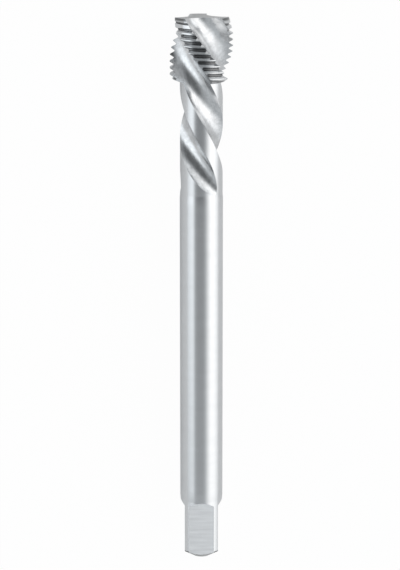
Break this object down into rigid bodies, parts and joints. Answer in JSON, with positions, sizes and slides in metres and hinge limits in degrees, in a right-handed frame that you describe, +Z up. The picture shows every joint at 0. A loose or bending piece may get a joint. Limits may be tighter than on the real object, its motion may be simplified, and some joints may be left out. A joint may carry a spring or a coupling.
{
  "type": "thread tap",
  "caption": "Spiral-flute machine tap with a short threaded head, a plain shank thinner than the thread and a square drive.",
  "frame": {"origin": "on the surface it lies on, below the middle of the tool's length, on the tool's axis seen from above", "axes": "+X along the tool axis towards the threaded front face, +Z up from the surface it lies on, +Y to the left seen from the shank looking towards the thread"},
  "size_m": [0.09, 0.01, 0.0101],
  "materials": {
    "tool_steel": "ground and lightly polished bare tool steel"
  },
  "bodies": {
    "root": {"tap_body": "tool_steel"}
  },
  "joints": []
}
